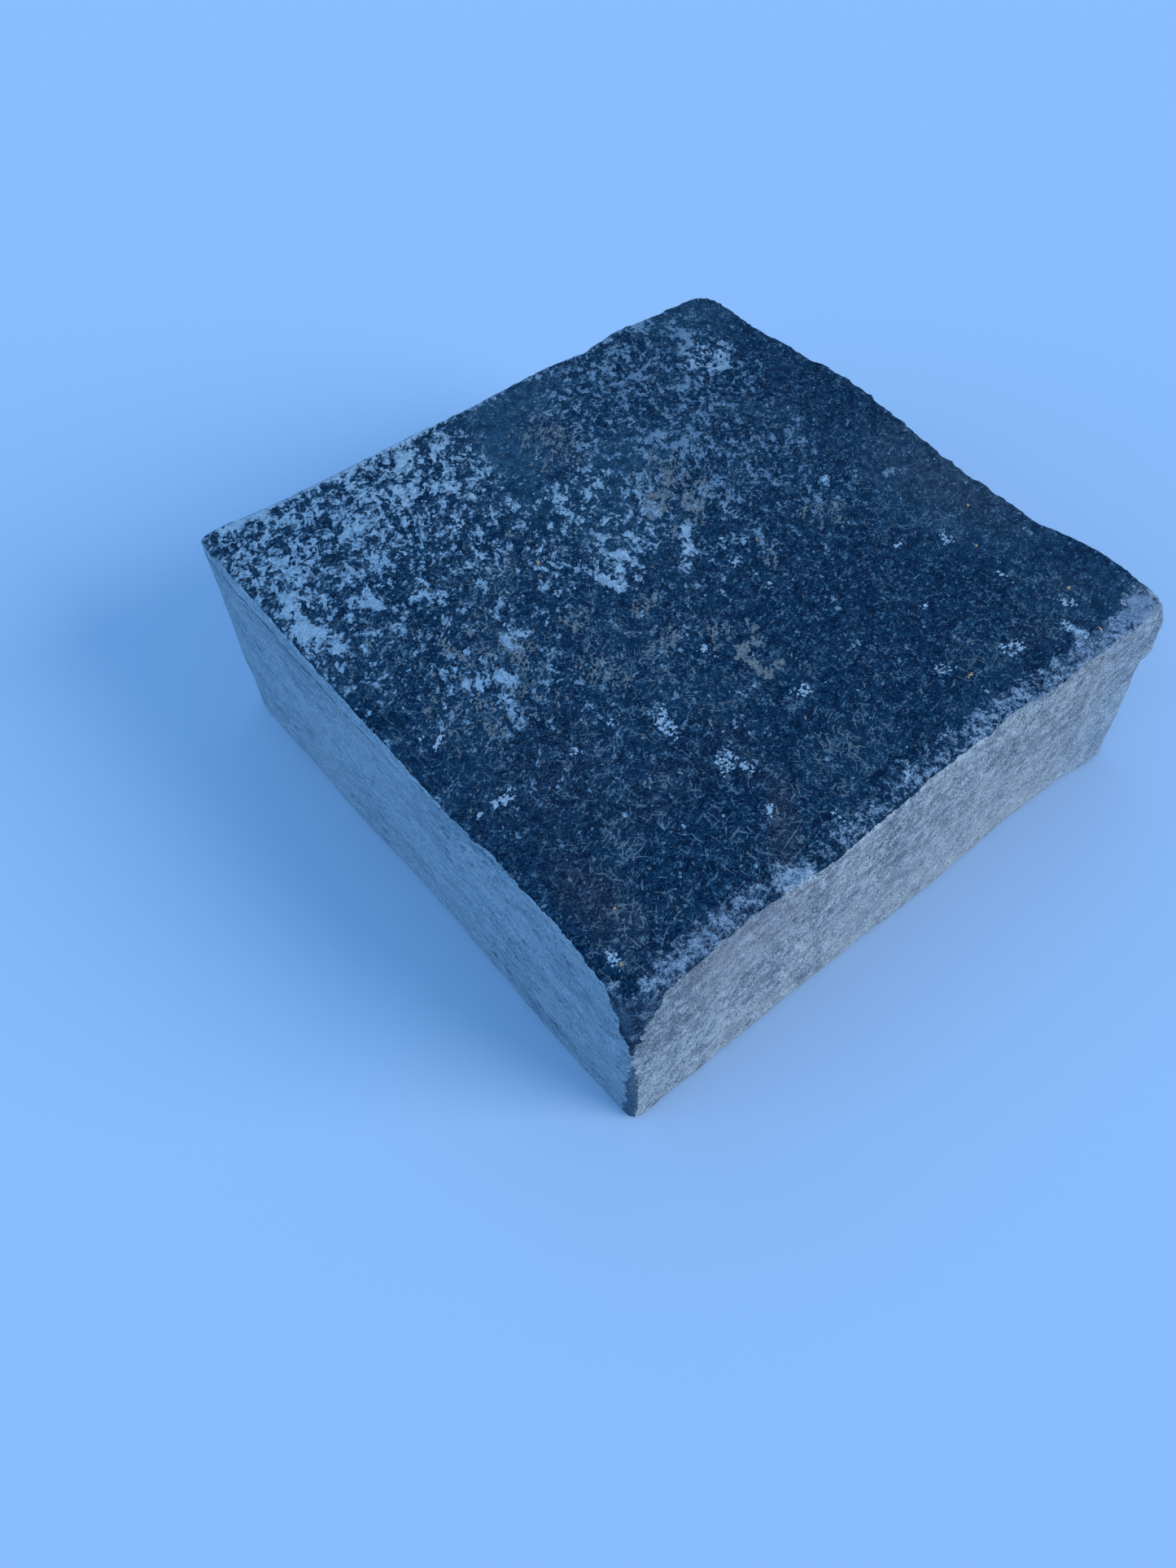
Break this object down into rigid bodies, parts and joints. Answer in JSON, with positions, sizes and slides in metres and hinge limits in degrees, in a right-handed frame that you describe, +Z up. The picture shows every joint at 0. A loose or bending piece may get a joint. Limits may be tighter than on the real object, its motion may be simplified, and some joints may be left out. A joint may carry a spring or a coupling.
{
  "type": "stone paving sett",
  "caption": "Squat squared block of dark natural stone with meandering hewn sides, worn eased arrises and a flat bed, laid by hand to pave streets, paths and edgings.",
  "frame": {"origin": "centre of the bounding box in plan, on the bed that the sett lies on", "axes": "+X along the longest side, +Y along the other side, +Z up through the worn head"},
  "size_m": [0.1515, 0.1499, 0.052],
  "materials": {
    "stone": "dark blue-grey natural stone, dark worn patina on the head with pale and tan patches, paler dusty hewn sides"
  },
  "bodies": {
    "root": {"sett": "stone"}
  },
  "joints": []
}
